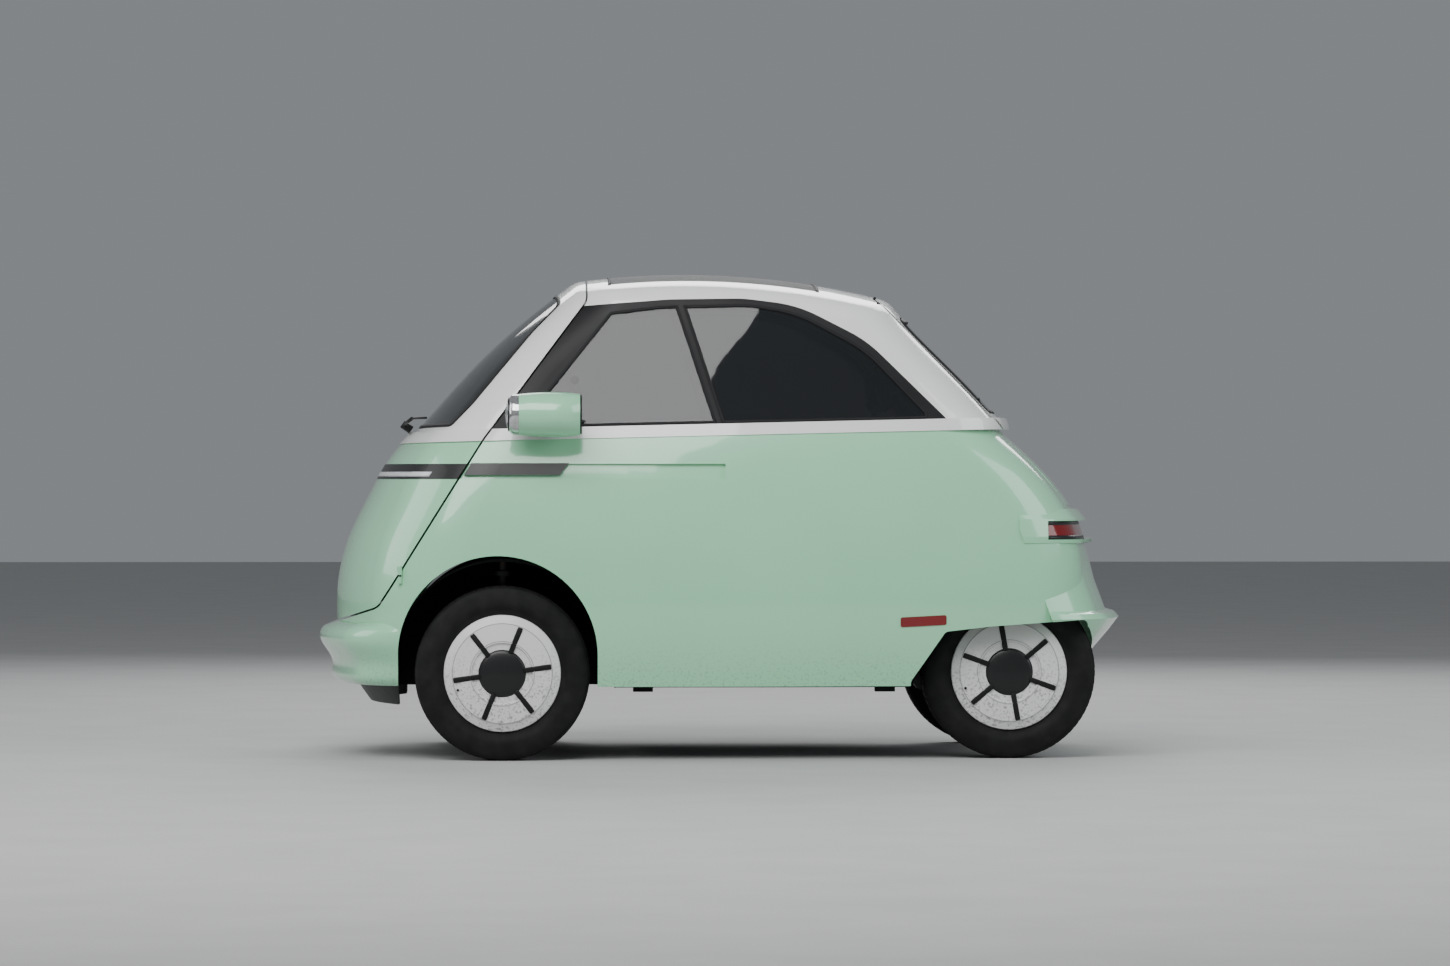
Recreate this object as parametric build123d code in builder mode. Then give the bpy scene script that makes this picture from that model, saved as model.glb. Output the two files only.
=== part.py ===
# Two-seat electric microcar: one front door, a tailgate and four wheels.
# Millimetres. +X is forward, +Y is the car's left, +Z is up. The origin is on the
# ground, at the middle of the car's length and width.
import math
import os

from build123d import *

# Walls, panes, shut lines and fits
WALL = 42.0
ROOF_WALL = 30.0
GLASS = 8.0
STRIP = 10.0
STRIP_PROUD = 1.5
SHUT_GAP = 6.0
SEAT_GAP = 0.3
PIN_FIT = 0.05
FAR = 2000.0

# Plan outlines of the lower body, one row for each height:
# height, nose x, tail x, half width, x of the widest point
BODY_ROWS = [
    (165, 1100, -1048, 694, 420),
    (240, 1150, -1090, 712, 420),
    (330, 1188, -1132, 727, 420),
    (440, 1206, -1160, 736, 420),
    (560, 1199, -1163, 736, 415),
    (690, 1163, -1141, 727, 400),
    (800, 1109, -1087, 711, 360),
    (900, 1055, -1003, 691, 300),
    (985, 985, -910, 667, 250),
    (1045, 925, -850, 648, 200),
]
# The belt moulding stands a little proud of the body and the glass
BELT_ROWS = [
    (935, 1045, -970, 686, 280),
    (985, 993, -916, 670, 250),
    (1022, 958, -912, 656, 200),
    (1070, 915, -880, 645, 160),
]
# The cabin above the belt
CABIN_ROWS = [
    (960, 990, -945, 657, 120),
    (1022, 942, -900, 646, 100),
    (1100, 874, -832, 625, 80),
    (1200, 783, -735, 601, 60),
    (1300, 679, -634, 575, 30),
    (1400, 558, -545, 545, 0),
    (1500, 425, -460, 513, 0),
    (1580, 310, -395, 486, 0),
]
# The bar across the nose and the stepped ridge across the tail
NOSE_ROWS = [
    (226, 1199, 0, 650, 300),
    (283, 1219, 0, 672, 300),
    (345, 1252, 0, 688, 300),
    (375, 1259, 0, 692, 300),
    (402, 1240, 0, 690, 300),
    (417, 1206, 0, 684, 300),
]
TAIL_ROWS = [
    (311, 0, -1162, 640, -300),
    (390, 0, -1230, 676, -300),
    (428, 0, -1259, 690, -300),
    (444, 0, -1244, 688, -300),
    (452, 0, -1216, 684, -300),
    (545, 0, -1181, 676, -300),
    (651, 0, -1154, 668, -300),
]
LAMP_ROWS = [
    (655, 0, -1150, 676, -300),
    (662, 0, -1176, 682, -300),
    (681, 0, -1177, 682, -300),
    (735, 0, -1154, 676, -300),
    (765, 0, -1128, 668, -300),
]
# Radii of the arcs of each outline: nose, front corner, side, tail, rear corner
BODY_ARCS = (1300, 300, 12000, 2200, 200)
CABIN_ARCS = (1300, 220, 7000, 1900, 190)
BUMPER_ARCS = (1500, 240, 9000, 1800, 230)

# The roof is part of a sphere, rounded into the cabin's sides
ROOF_RADIUS = 2550.0
ROOF_TOP = 1501.0
ROOF_TOP_X = 110.0
ROOF_EDGE = 85.0

# Side-view lines, as (x, z)
BELT_FRONT = (1300, 961)
BELT_REAR = (-1300, 1021)
BELT_DEPTH = 36.0
DOOR_LINE = [
    (424, 1700), (424, 1405), (738, 982), (1014, 541), (1062, 468), (1206, 417),
    (1500, 313), (1500, 1700),
]
DOOR_BEND = 45.0
TAILGATE_LINE = [
    (-478, 1700), (-478, 1415), (-846, 1036), (-1074, 784), (-1140, 766),
    (-1500, 740), (-1500, 1700),
]
TAILGATE_BACK_LINE = [(-542, 1398), (-846, 1036), (-1074, 784), (-1200, 770), (-1200, 1398)]
TAILGATE_STEP = 60.0
TAILGATE_BEND = 25.0
FRONT_BUMPER_LINE = [
    (800, 398), (1014, 541), (1062, 468), (1206, 417), (1500, 313), (1500, 226),
    (800, 226),
]
REAR_BUMPER_LINE = [
    (-882, 752), (-1074, 784), (-1140, 766), (-1500, 740), (-1500, 311),
    (-1040, 311), (-1000, 423),
]
REAR_ARCH_LINE = [
    (-566, 100), (-566, 240), (-672, 392), (-815, 408), (-1115, 428), (-1115, 100),
]
SILL_HEIGHT = 226.0
FRONT_ARCH_X = 693.0
FRONT_ARCH_Z = 320.0
FRONT_ARCH_R = 304.0
WINDSCREEN_LINE = [
    (462, 1440), (586, 1311), (769, 1089), (838, 1018), (1300, 1010), (1300, 1440),
]
MOULDING_LINE = [
    (600, 1392), (424, 1390), (167, 1409), (-60, 1412), (-225, 1391), (-436, 1283),
    (-683, 1040), (-683, 900), (1300, 900), (1300, 1392),
]
SIDE_GLASS_LINE = [
    (350, 1369), (197, 1388), (-80, 1394), (-225, 1370), (-436, 1255), (-645, 1036),
    (633, 1013),
]
ARCH_BEND = 400.0
GLASS_SPLIT_TOP = 152.0
GLASS_SPLIT_FOOT = 16.0
GLASS_SPLIT_BAR = 16.0
REAR_GLASS_HALF = 395.0
REAR_GLASS_LOW = 1062.0
REAR_GLASS_HIGH = 1350.0
REAR_GLASS_BEND = 45.0
SUNROOF_FRONT = 355.0
SUNROOF_REAR = -298.0
SUNROOF_HALF = 400.0

# Lamps and strips on the lower body
LIGHT_BAR_LOW = 858.0
LIGHT_BAR_HIGH = 904.0
SIDE_STRIP_LINE = [(773, 906), (476, 906), (504, 870), (796, 870)]
TAIL_BAR_LINE = [(-989, 729), (-989, 672), (-1300, 672), (-1300, 729)]
MARKER_LINE = [(-533, 406), (-533, 436), (-674, 443), (-674, 413)]

# Wheels
TYRE_R = 266.5
TYRE_HALF = 72.5
BEAD_R = 167.0
FRONT_AXLE_X = 679.0
REAR_AXLE_X = -874.0
FRONT_TRACK = 620.0
REAR_TRACK = 500.0
KINGPIN_Y = 500.0
STEER_SWEEP = math.hypot(TYRE_R, FRONT_TRACK + TYRE_HALF - KINGPIN_Y) + 8
COVER_R = 178.0
CAP_R = 72.0
BAR_COUNT = 6
BAR_WIDTH = 16.0
BAR_REACH = 149.0
FRONT_BAR_TURN = 8.0
REAR_BAR_TURN = 40.0
HUB_R = 45.0
HUB_FACE = -20.0
STUB_R = 15.0

# Wheelhouses and floor
FRONT_HOUSE_R = 340.0
REAR_HOUSE_R = 292.0
HOUSE_SKIN = 6.0
FRONT_HOUSE_Y = 379.0
REAR_HOUSE_Y = 432.0
FLOOR_LOW = 222.0
FLOOR_HIGH = 240.0
FLOOR_HALF = 650.0
BOOT_FLOOR = 575.0
BOOT_PLATE = 14.0
BULKHEAD_X = -560.0

# Hinges
DOOR_HINGE_X = 990.0
DOOR_HINGE_Y = 672.0
DOOR_PIN_R = 3.0
DOOR_PIN_LOW = 540.0
DOOR_PIN_HIGH = 592.0
DOOR_EYE_R = 6.5
DOOR_EYE_TOP = 560.0
DOOR_EYE_FOOT = 566.0
DOOR_WEB_FOOT = 580.0
DOOR_WEB_REACH = 24.0
TAILGATE_HINGE_X = -478.0
TAILGATE_HINGE_Z = 1421.0
TAILGATE_BEAD_R = 12.0
TAILGATE_BEAD_HALF = 240.0
TAILGATE_PIN_R = 4.0
TAILGATE_PIN_REACH = 36.0

# Seats and steering
SEAT_HALF = 545.0
SEAT_LOW = 400.0
STEER_X = 300.0
STEER_Y = 270.0
STEER_Z = 800.0
STEER_R = 170.0
STEER_SLOPE = 25.0


def corner_centre(nose, nose_r, side, side_r, corner_r):
    """Centre of the corner arc that touches an end arc and the side arc from inside."""
    reach_end, reach_side = nose_r - corner_r, side_r - corner_r
    dx, dy = side[0] - nose[0], side[1] - nose[1]
    apart = math.hypot(dx, dy)
    along = (reach_end**2 - reach_side**2 + apart**2) / (2 * apart)
    across = math.sqrt(reach_end**2 - along**2)
    foot = (nose[0] + along * dx / apart, nose[1] + along * dy / apart)
    found = [
        (foot[0] - s * across * dy / apart, foot[1] + s * across * dx / apart)
        for s in (1, -1)
    ]
    return max(found, key=lambda c: c[1])


def touch_point(centre, radius, towards):
    """The point of a circle that lies on the line from its centre towards another."""
    reach = math.hypot(towards[0] - centre[0], towards[1] - centre[1])
    return tuple(c + radius * (t - c) / reach for c, t in zip(centre, towards))


def arc_between(centre, radius, start, end, sign):
    """The short arc about centre from start to end, mirrored where sign is -1."""
    middle = ((start[0] + end[0]) / 2, (start[1] + end[1]) / 2)
    through = touch_point(centre, radius, middle)
    ThreePointArc(*((p[0], sign * p[1]) for p in (start, through, end)))


def plan_outline(row, arcs, inset):
    """A closed outline of eight tangent arcs, symmetric about the X axis."""
    height, nose_x, tail_x, half_width, widest_x = row
    nose_r, front_r, side_r, tail_r, rear_r = (r - inset for r in arcs)
    nose = (nose_x - inset - nose_r, 0)
    tail = (tail_x + inset + tail_r, 0)
    side = (widest_x, half_width - inset - side_r)
    front = corner_centre(nose, nose_r, side, side_r, front_r)
    rear = corner_centre(tail, tail_r, side, side_r, rear_r)
    a = touch_point(nose, nose_r, front)
    b = touch_point(side, side_r, front)
    c = touch_point(side, side_r, rear)
    d = touch_point(tail, tail_r, rear)
    with BuildSketch(Plane.XY.offset(height)) as outline:
        with BuildLine():
            for sign in (1, -1):
                arc_between(front, front_r, a, b, sign)
                arc_between(side, side_r, b, c, sign)
                arc_between(rear, rear_r, c, d, sign)
            arc_between(nose, nose_r, a, (a[0], -a[1]), 1)
            arc_between(tail, tail_r, d, (d[0], -d[1]), 1)
        make_face()
    return outline.sketch.faces()[0]


def hull(rows, arcs, inset, ruled=False):
    """The solid inside a band of the shell's skin, or inside a surface inset from it."""
    with BuildPart() as band:
        loft(sections=[plan_outline(row, arcs, inset) for row in rows], ruled=ruled)
    return band.part


def cabin(inset, roof_inset):
    """The solid inside the cabin's skin, closed by the roof's sphere."""
    with BuildPart() as band:
        add(hull(CABIN_ROWS, CABIN_ARCS, inset))
        with Locations((ROOF_TOP_X, 0, ROOF_TOP - ROOF_RADIUS)):
            Sphere(ROOF_RADIUS - roof_inset, mode=Mode.INTERSECT)
        top = band.faces().filter_by(GeomType.SPHERE)[0]
        fillet(top.edges(), ROOF_EDGE - roof_inset)
    return band.part


def zone(points, bend=0.0, grow=0.0, low_y=-FAR, high_y=FAR):
    """A block whose side view is the given outline, between two values of y."""
    with BuildPart() as block:
        with BuildSketch(Plane.XZ.offset(-high_y)):
            with BuildLine():
                if bend:
                    FilletPolyline(*points, radius=bend, close=True)
                else:
                    Polyline(*points, close=True)
            make_face()
            if grow:
                offset(amount=grow)
        extrude(amount=high_y - low_y)
    return block.part


def arch(points, bend):
    """A zone below a row of points, which runs straight on past both of its ends."""
    (ax, az), (bx, bz) = points[:2]
    (cx, cz), (dx, dz) = points[-2:]
    front = (ax + 4 * (ax - bx), az + 4 * (az - bz))
    rear = (dx + 4 * (dx - cx), dz + 4 * (dz - cz))
    return zone([front, *points[1:-1], rear, (rear[0], -900), (front[0], -900)], bend)


def block(low, high):
    """A box between two opposite corners."""
    with BuildPart() as box:
        centre = tuple((a + b) / 2 for a, b in zip(low, high))
        with Locations(centre):
            Box(*(b - a for a, b in zip(low, high)))
    return box.part


def rod(start, end, radius):
    """A round bar from one point to another."""
    with BuildPart() as bar:
        span = Vector(*end) - Vector(*start)
        with BuildSketch(Plane(origin=start, z_dir=span)):
            Circle(radius)
        extrude(amount=span.length)
    return bar.part


def cut(shape, *zones):
    """The shape without the given zones."""
    with BuildPart() as result:
        add(shape)
        add(zones, mode=Mode.SUBTRACT)
    return result.part


def keep(shape, *zones):
    """The part of the shape that lies in all the given zones."""
    with BuildPart() as result:
        add(shape)
        for each in zones:
            add(each, mode=Mode.INTERSECT)
    return result.part


def join(*shapes):
    """The shapes as one part."""
    with BuildPart() as result:
        for each in shapes:
            add(each)
    return result.part


def mirrored(shape):
    """A shape and its mirror image across the car's middle."""
    with BuildPart() as result:
        add(shape)
        mirror(about=Plane.XZ)
    return result.part


def save(piece, label):
    """Write one finished piece."""
    piece.label = label
    export_step(piece, f"parts/{label}.step")


os.makedirs("parts", exist_ok=True)

# The skins: each is the space between an outer and an inner surface
body_outer = hull(BODY_ROWS, BODY_ARCS, 0)
body_inner = hull(BODY_ROWS, BODY_ARCS, WALL)
body_strip_bed = hull(BODY_ROWS, BODY_ARCS, STRIP + SEAT_GAP)
strip_shell = cut(hull(BODY_ROWS, BODY_ARCS, -STRIP_PROUD), hull(BODY_ROWS, BODY_ARCS, STRIP))
belt_shell = cut(hull(BELT_ROWS, BODY_ARCS, 0), hull(BELT_ROWS, BODY_ARCS, WALL))
cabin_outer = cabin(0, 0)
cabin_shell = cut(cabin_outer, cabin(WALL, ROOF_WALL))
cabin_pane = cut(cabin_outer, cabin(GLASS, GLASS))

# Blocks on either side of each shut line
belt_foot = [BELT_FRONT, BELT_REAR, (-1300, -100), (1300, -100)]
below_belt = zone(belt_foot)
belt_band = zone([
    BELT_FRONT, BELT_REAR,
    (BELT_REAR[0], BELT_REAR[1] + BELT_DEPTH), (BELT_FRONT[0], BELT_FRONT[1] + BELT_DEPTH),
])
above_belt = zone([
    (BELT_FRONT[0], BELT_FRONT[1] + BELT_DEPTH), (BELT_REAR[0], BELT_REAR[1] + BELT_DEPTH),
    (-1300, 1700), (1300, 1700),
])
door_zone = zone(DOOR_LINE, DOOR_BEND)
off_door = zone(DOOR_LINE, DOOR_BEND, SHUT_GAP)
tailgate_bead = rod(
    (TAILGATE_HINGE_X, -TAILGATE_BEAD_HALF, TAILGATE_HINGE_Z),
    (TAILGATE_HINGE_X, TAILGATE_BEAD_HALF, TAILGATE_HINGE_Z),
    TAILGATE_BEAD_R,
)
tailgate_bead_space = rod(
    (TAILGATE_HINGE_X, -TAILGATE_BEAD_HALF - SHUT_GAP, TAILGATE_HINGE_Z),
    (TAILGATE_HINGE_X, TAILGATE_BEAD_HALF + SHUT_GAP, TAILGATE_HINGE_Z),
    TAILGATE_BEAD_R + SHUT_GAP,
)
tailgate_pins = mirrored(rod(
    (TAILGATE_HINGE_X, TAILGATE_BEAD_HALF - TAILGATE_PIN_REACH, TAILGATE_HINGE_Z),
    (TAILGATE_HINGE_X, TAILGATE_BEAD_HALF + TAILGATE_PIN_REACH, TAILGATE_HINGE_Z),
    TAILGATE_PIN_R,
))
tailgate_bores = mirrored(rod(
    (TAILGATE_HINGE_X, TAILGATE_BEAD_HALF - TAILGATE_PIN_REACH - 0.2, TAILGATE_HINGE_Z),
    (TAILGATE_HINGE_X, TAILGATE_BEAD_HALF + TAILGATE_PIN_REACH, TAILGATE_HINGE_Z),
    TAILGATE_PIN_R + PIN_FIT,
))
tailgate_back = zone([(x + TAILGATE_STEP, z) for x, z in TAILGATE_BACK_LINE], 0, 0, -400, 400)
off_tailgate_back = zone(
    [(x + TAILGATE_STEP, z) for x, z in TAILGATE_BACK_LINE], 0, SHUT_GAP, -406, 406
)
tailgate_zone = join(zone(TAILGATE_LINE, TAILGATE_BEND), tailgate_back, tailgate_bead)
off_tailgate = join(
    zone(TAILGATE_LINE, TAILGATE_BEND, SHUT_GAP), off_tailgate_back, tailgate_bead_space
)
front_bumper_zone = zone(FRONT_BUMPER_LINE)
rear_bumper_zone = zone(REAR_BUMPER_LINE)
with BuildPart() as front_arch:
    with BuildSketch(Plane.XZ.offset(-FAR)):
        with Locations((FRONT_ARCH_X, FRONT_ARCH_Z)):
            Circle(FRONT_ARCH_R)
        with Locations((FRONT_ARCH_X, FRONT_ARCH_Z / 2)):
            Rectangle(2 * FRONT_ARCH_R, FRONT_ARCH_Z)
    extrude(amount=2 * FAR)
    add(block((0, -360, -100), (2000, 360, 900)), mode=Mode.SUBTRACT)
rear_arch = zone(REAR_ARCH_LINE, 20)
rear_arch = cut(rear_arch, block((-2000, -360, -100), (0, 360, 900)))
rear_tyre_space = mirrored(rod(
    (REAR_AXLE_X, 360, TYRE_R), (REAR_AXLE_X, REAR_TRACK + TYRE_HALF + 14, TYRE_R), TYRE_R + 14
))
light_bar_zone = block((0, -FAR, LIGHT_BAR_LOW), (FAR, FAR, LIGHT_BAR_HIGH))
side_strip_zone = zone(SIDE_STRIP_LINE)
marker_zone = zone(MARKER_LINE, 6)
tail_bar_zone = zone(TAIL_BAR_LINE)
windscreen_zone = zone(WINDSCREEN_LINE, 30)
moulding_zone = keep(zone(MOULDING_LINE, 30), arch(MOULDING_LINE[1:7], ARCH_BEND))
side_glass_zone = keep(zone(SIDE_GLASS_LINE, 18), arch(SIDE_GLASS_LINE[:6], ARCH_BEND))
with BuildPart() as rear_glass:
    with BuildSketch(Plane.YZ.offset(-500)):
        with Locations((0, (REAR_GLASS_LOW + REAR_GLASS_HIGH) / 2)):
            RectangleRounded(
                2 * REAR_GLASS_HALF, REAR_GLASS_HIGH - REAR_GLASS_LOW, REAR_GLASS_BEND
            )
    extrude(amount=-500)
rear_glass_zone = rear_glass.part
left_half = block((-FAR, 0, -FAR), (FAR, FAR, FAR))
right_half = block((-FAR, -FAR, -FAR), (FAR, 0, FAR))

# Outer panels of the lower body
body_shell = cut(body_outer, body_inner)
strip_beds = cut(join(light_bar_zone, side_strip_zone, marker_zone), body_strip_bed)
left_side = cut(
    keep(body_shell, left_half, below_belt),
    off_door, off_tailgate, front_bumper_zone, rear_bumper_zone, front_arch.part, rear_arch,
    block((-FAR, -FAR, 0), (FAR, FAR, SILL_HEIGHT)), block((-FAR, -FAR, 0), (-1000, FAR, 311)),
    strip_beds, rear_tyre_space,
)
hinge_bore = rod(
    (DOOR_HINGE_X, DOOR_HINGE_Y, DOOR_PIN_LOW), (DOOR_HINGE_X, DOOR_HINGE_Y, DOOR_PIN_HIGH),
    DOOR_PIN_R + PIN_FIT,
)
side_eye = join(
    rod((DOOR_HINGE_X, DOOR_HINGE_Y, DOOR_PIN_LOW), (DOOR_HINGE_X, DOOR_HINGE_Y, DOOR_EYE_TOP),
        DOOR_EYE_R),
    block((DOOR_HINGE_X - 4, DOOR_HINGE_Y - DOOR_WEB_REACH, DOOR_PIN_LOW),
          (DOOR_HINGE_X + 4, DOOR_HINGE_Y, DOOR_EYE_TOP)),
)
save(mirror(left_side, about=Plane.XZ), "right_side_panel")
save(cut(join(left_side, side_eye), hinge_bore), "left_side_panel")

nose_bar = cut(
    hull(NOSE_ROWS, BUMPER_ARCS, 0), block((-FAR, -FAR, 0), (900, FAR, FAR)), body_inner
)
steer_space = keep(
    mirrored(rod((FRONT_AXLE_X, KINGPIN_Y, 0), (FRONT_AXLE_X, KINGPIN_Y, 540), STEER_SWEEP)),
    block((0, -655, 0), (FAR, 655, FAR)),
)
front_bumper = cut(
    keep(join(body_shell, nose_bar), front_bumper_zone), front_arch.part, off_door, steer_space
)
save(front_bumper, "front_bumper")
valance = cut(
    keep(body_shell, block((900, -FAR, 165), (FAR, FAR, SILL_HEIGHT))), front_arch.part
)
save(valance, "front_valance")

tail_ridge = cut(
    join(hull(TAIL_ROWS, BUMPER_ARCS, 0, True), hull(LAMP_ROWS, BUMPER_ARCS, 0, True)),
    block((-900, -FAR, 0), (FAR, FAR, FAR)), body_inner,
)
tail_bar_bed = cut(tail_bar_zone, body_strip_bed)
rear_bumper = cut(
    keep(join(body_shell, tail_ridge), rear_bumper_zone),
    rear_arch, off_tailgate, tail_bar_bed, rear_tyre_space,
)
save(rear_bumper, "rear_bumper")
save(keep(strip_shell, join(tail_bar_zone, marker_zone)), "rear_lamps")
save(cut(keep(strip_shell, side_strip_zone), off_door), "side_strips")

# Belt mouldings, roof, side frames and side windows
belt = cut(keep(belt_shell, belt_band), off_door, off_tailgate)
save(belt, "belt_mouldings")
cabin_sides = cut(keep(cabin_shell, above_belt), off_door, off_tailgate)
sunroof_zone = block(
    (SUNROOF_REAR, -SUNROOF_HALF, 1200), (SUNROOF_FRONT, SUNROOF_HALF, 1600)
)
save(cut(cabin_sides, moulding_zone, sunroof_zone, tailgate_bores), "roof_panel")
save(keep(cabin_sides, sunroof_zone), "sunroof_panel")
left_frame = cut(keep(cabin_sides, left_half, moulding_zone), side_glass_zone)
glass_bar = zone([
    (GLASS_SPLIT_TOP, 1420), (GLASS_SPLIT_FOOT, 1000),
    (GLASS_SPLIT_FOOT - GLASS_SPLIT_BAR, 1000), (GLASS_SPLIT_TOP - GLASS_SPLIT_BAR, 1420),
])
side_glass = keep(cabin_pane, left_half, side_glass_zone, above_belt)
side_glass = cut(side_glass, off_door, off_tailgate)
glass_ahead = zone([
    (GLASS_SPLIT_TOP, 1420), (GLASS_SPLIT_FOOT, 1000), (FAR, 1000), (FAR, 1420),
])
save(mirrored(keep(side_glass, glass_ahead)), "front_side_windows")
save(mirrored(cut(side_glass, glass_ahead, glass_bar)), "rear_side_windows")
save(mirrored(join(left_frame, keep(side_glass, glass_bar))), "window_frames")

# Front door
door_bore = rod(
    (DOOR_HINGE_X, DOOR_HINGE_Y, DOOR_PIN_LOW),
    (DOOR_HINGE_X, DOOR_HINGE_Y, DOOR_PIN_HIGH + 0.5),
    DOOR_PIN_R + PIN_FIT,
)
door_eye = join(
    rod((DOOR_HINGE_X, DOOR_HINGE_Y, DOOR_EYE_FOOT), (DOOR_HINGE_X, DOOR_HINGE_Y, DOOR_PIN_HIGH),
        DOOR_EYE_R),
    block((DOOR_HINGE_X - 1, DOOR_HINGE_Y - DOOR_WEB_REACH, DOOR_WEB_FOOT),
          (DOOR_HINGE_X + 9, DOOR_HINGE_Y, DOOR_PIN_HIGH)),
)
door_panel = cut(
    join(cut(keep(body_shell, below_belt, door_zone), strip_beds), door_eye), door_bore
)
save(door_panel, "front_door_panel")
door_frame = cut(
    join(keep(belt_shell, belt_band, door_zone), keep(cabin_shell, above_belt, door_zone)),
    windscreen_zone,
)
save(door_frame, "front_door_frame")
save(keep(cabin_pane, windscreen_zone, door_zone, above_belt), "windscreen")
save(keep(strip_shell, light_bar_zone, door_zone), "light_bar")
hinge_pin = rod(
    (DOOR_HINGE_X, DOOR_HINGE_Y, DOOR_PIN_LOW + 0.2),
    (DOOR_HINGE_X, DOOR_HINGE_Y, DOOR_PIN_HIGH), DOOR_PIN_R,
)
save(hinge_pin, "door_hinge_pin")

# Tailgate
save(keep(body_shell, below_belt, tailgate_zone), "tailgate_panel")
tailgate_head = keep(cabin_outer, tailgate_bead)
tailgate_frame = cut(
    join(keep(belt_shell, belt_band, tailgate_zone),
         keep(cabin_shell, above_belt, tailgate_zone), tailgate_head),
    rear_glass_zone, tailgate_bores,
)
save(tailgate_frame, "tailgate_frame")
save(keep(cabin_pane, rear_glass_zone), "rear_window")
save(tailgate_pins, "tailgate_hinge_pins")

# Wheels: the tyre, the black rim with its bars and hub cap, and the pale cover


def turned(plane, profile, axis):
    """A solid of revolution about the wheel's axis."""
    with BuildPart() as solid:
        with BuildSketch(plane):
            with BuildLine():
                Polyline(*profile, close=True)
            make_face()
        revolve(axis=axis)
    return solid.part


TYRE_PROFILE = [
    (-60, BEAD_R), (-TYRE_HALF, 215), (-66, 250), (-52, TYRE_R), (52, TYRE_R), (66, 250),
    (TYRE_HALF, 215), (60, BEAD_R),
]
RIM_PROFILE = [
    (-60, BEAD_R - SEAT_GAP), (-60, 155), (24, 155), (24, HUB_R), (HUB_FACE, HUB_R),
    (HUB_FACE, STUB_R + PIN_FIT), (20, STUB_R + PIN_FIT), (20, 0), (92, 0), (91.3, 20),
    (89.4, 40), (86.5, 58), (83, CAP_R), (78, CAP_R), (78, 52), (32, 52), (32, 155),
    (64, 155), (64, 172), (62.5, 172), (62.5, BEAD_R - SEAT_GAP),
]
COVER_PROFILE = [
    (68, COVER_R), (73, 176), (84, 150), (89, 94), (83, 90), (83, CAP_R + 0.5),
    (78, CAP_R + 0.5), (78, 95), (83, 96), (79, 148), (68, 170), (64.3, 170), (64.3, COVER_R),
]


def wheel(x, y, turn, side, prefix):
    """One wheel, its outer face towards side, which is 1 on the left and -1 on the right."""
    hub = (x, side * y, TYRE_R)
    section = Plane(origin=hub, x_dir=(0, side, 0), z_dir=(side, 0, 0))
    axis = Axis(hub, (0, 1, 0))
    face = Plane(origin=hub, x_dir=(1, 0, 0), z_dir=(0, side, 0))
    save(turned(section, TYRE_PROFILE, axis), f"{prefix}_tyre")
    reach = BAR_REACH - 94 - BAR_WIDTH / 2
    with BuildPart() as rim:
        add(turned(section, RIM_PROFILE, axis))
        with BuildSketch(face.offset(30)):
            with PolarLocations(94 + reach / 2, BAR_COUNT, start_angle=turn):
                SlotCenterToCenter(reach, BAR_WIDTH)
        extrude(amount=52)
    save(rim.part, f"{prefix}_rim")
    with BuildPart() as cover:
        add(turned(section, COVER_PROFILE, axis))
        with BuildSketch(face.offset(40)):
            with PolarLocations(94 + reach / 2, BAR_COUNT, start_angle=turn):
                SlotCenterToCenter(reach, BAR_WIDTH + 2 * SEAT_GAP)
        extrude(amount=80, mode=Mode.SUBTRACT)
    save(cover.part, f"{prefix}_cover")


for name, x, y, turn in (
    ("front", FRONT_AXLE_X, FRONT_TRACK, FRONT_BAR_TURN),
    ("rear", REAR_AXLE_X, REAR_TRACK, REAR_BAR_TURN),
):
    wheel(x, y, turn, 1, f"{name}_left")
    wheel(x, y, turn, -1, f"{name}_right")

# Front suspension: a knuckle turns about a fixed strut above and a ball pin below
STRUT_R = 18.0
BALL_R = 8.0
KNUCKLE_LOW = 168.0
KNUCKLE_HIGH = 372.0
SOCKET_TOP = 320.0
ARM_X = 110.0
knuckle_face = FRONT_TRACK + HUB_FACE - SEAT_GAP
for side, name in ((1, "left"), (-1, "right")):
    foot = (FRONT_AXLE_X, side * KINGPIN_Y, KNUCKLE_LOW)
    with BuildPart() as knuckle:
        with BuildSketch(Plane(origin=foot)):
            Circle(27)
        extrude(amount=KNUCKLE_HIGH - KNUCKLE_LOW)
        add(rod((FRONT_AXLE_X, side * (KINGPIN_Y + 5), TYRE_R),
                (FRONT_AXLE_X, side * knuckle_face, TYRE_R), 38))
        add(rod((FRONT_AXLE_X, side * knuckle_face, TYRE_R),
                (FRONT_AXLE_X, side * (FRONT_TRACK + 10), TYRE_R), STUB_R))
        add(rod((FRONT_AXLE_X, side * 555, TYRE_R),
                (FRONT_AXLE_X, side * 563, TYRE_R), 120))
        with Locations((FRONT_AXLE_X - ARM_X / 2, side * KINGPIN_Y, 192)):
            Box(ARM_X, 26, 20)
        with Locations((FRONT_AXLE_X - ARM_X, side * KINGPIN_Y, 192)):
            Cylinder(18, 20)
        with BuildSketch(Plane(origin=(FRONT_AXLE_X, side * KINGPIN_Y, SOCKET_TOP))):
            Circle(STRUT_R + PIN_FIT)
        extrude(amount=KNUCKLE_HIGH - SOCKET_TOP, mode=Mode.SUBTRACT)
        with BuildSketch(Plane(origin=foot)):
            Circle(BALL_R + PIN_FIT)
        extrude(amount=40, mode=Mode.SUBTRACT)
    save(knuckle.part, f"{name}_knuckle")

house_top = FRONT_HOUSE_R + HOUSE_SKIN + TYRE_R
with BuildPart() as strut:
    add(rod((FRONT_AXLE_X, KINGPIN_Y, SOCKET_TOP + SEAT_GAP),
            (FRONT_AXLE_X, KINGPIN_Y, house_top - HOUSE_SKIN - 0.9), STRUT_R))
    for z in range(5):
        with Locations((FRONT_AXLE_X, KINGPIN_Y, 400 + 42 * z)):
            Cylinder(38, 14)

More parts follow.
